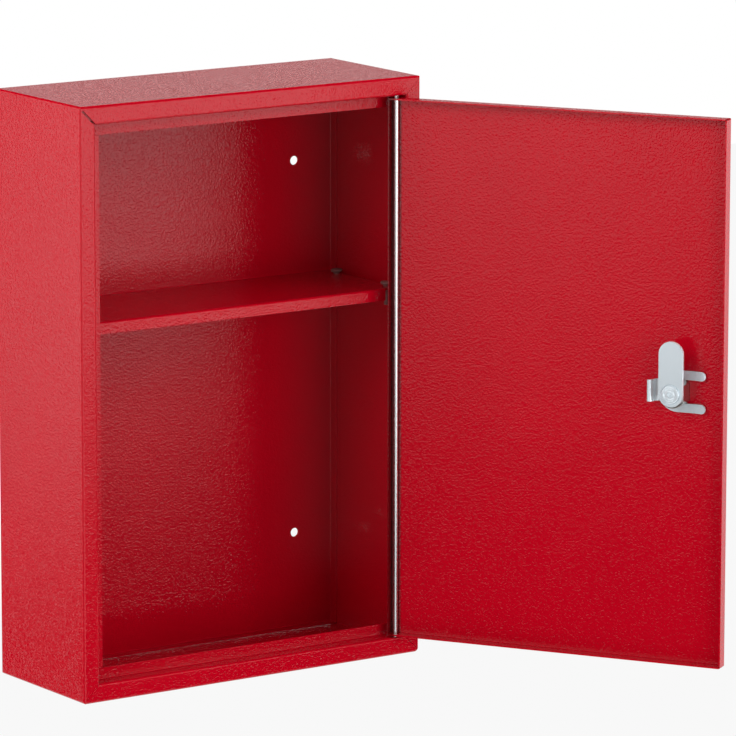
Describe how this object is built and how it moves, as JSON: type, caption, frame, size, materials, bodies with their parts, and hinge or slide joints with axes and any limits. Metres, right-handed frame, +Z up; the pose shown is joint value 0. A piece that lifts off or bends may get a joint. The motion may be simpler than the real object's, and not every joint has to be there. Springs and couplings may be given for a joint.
{
  "type": "lockable medicine cabinet",
  "caption": "Small wall cabinet of folded sheet steel with a shelf, a side-hung door on a full-height hinge rod, and a cam lock with its key.",
  "frame": {"origin": "middle of the back panel's rear face, where the cabinet meets the wall", "axes": "+Z up, +Y into the wall, -Y out of the cabinet's front, +X towards the hinge side"},
  "size_m": [0.3152, 0.2476, 0.32],
  "materials": {
    "casing_paint": "red powder coat with a fine leather grain, satin",
    "back_paint": "red powder coat with a fine leather grain, satin",
    "shelf_paint": "red powder coat with a fine leather grain, satin",
    "bracket_paint": "red powder coat, satin",
    "door_paint": "red powder coat with a fine leather grain, satin",
    "pin_steel": "dull zinc-plated steel",
    "rod_steel": "bright drawn steel rod",
    "lock_nickel": "nickel-plated zinc casting",
    "plug_nickel": "nickel-plated zinc casting",
    "zinc_spring": "bright zinc-plated spring steel",
    "zinc_plate": "bright zinc-plated pressed steel",
    "rivet_steel": "bright zinc-plated steel, swaged",
    "wafer_brass": "stamped brass",
    "spring_steel": "bright wire",
    "key_nickel": "nickel-plated, lightly worn"
  },
  "bodies": {
    "cabinet": {"casing": "casing_paint", "back_panel": "back_paint", "shelf": "shelf_paint", "shelf_bracket_left": "bracket_paint", "shelf_bracket_right": "bracket_paint", "shelf_pin_front_left": "pin_steel", "shelf_pin_front_right": "pin_steel", "shelf_pin_rear_left": "pin_steel", "shelf_pin_rear_right": "pin_steel", "hinge_rod": "rod_steel"},
    "door": {"door_panel": "door_paint", "lock_barrel": "lock_nickel", "horseshoe_spring": "zinc_spring"},
    "plug": {"lock_plug": "plug_nickel", "wafer_1": "wafer_brass", "wafer_2": "wafer_brass", "wafer_3": "wafer_brass", "wafer_4": "wafer_brass", "wafer_springs": "spring_steel", "lock_cam": "zinc_plate", "cam_rivet": "rivet_steel"},
    "key": {"key": "key_nickel"}
  },
  "joints": [
    {"name": "door_swing", "type": "hinge", "parent": "cabinet", "child": "door", "pos_m": [0.094, -0.0825, 0], "axis": [0, 0, 1], "range_deg": [-122, 2.5]},
    {"name": "lock_turn", "type": "hinge", "parent": "door", "child": "plug", "pos_m": [0.18064, -0.22116, 0], "axis": [0.848, 0.5299, 0], "range_deg": [0, 90]},
    {"name": "key_slide", "type": "slide", "parent": "plug", "child": "key", "axis": [0.848, 0.5299, 0], "range_m": [0, 0.02]}
  ]
}
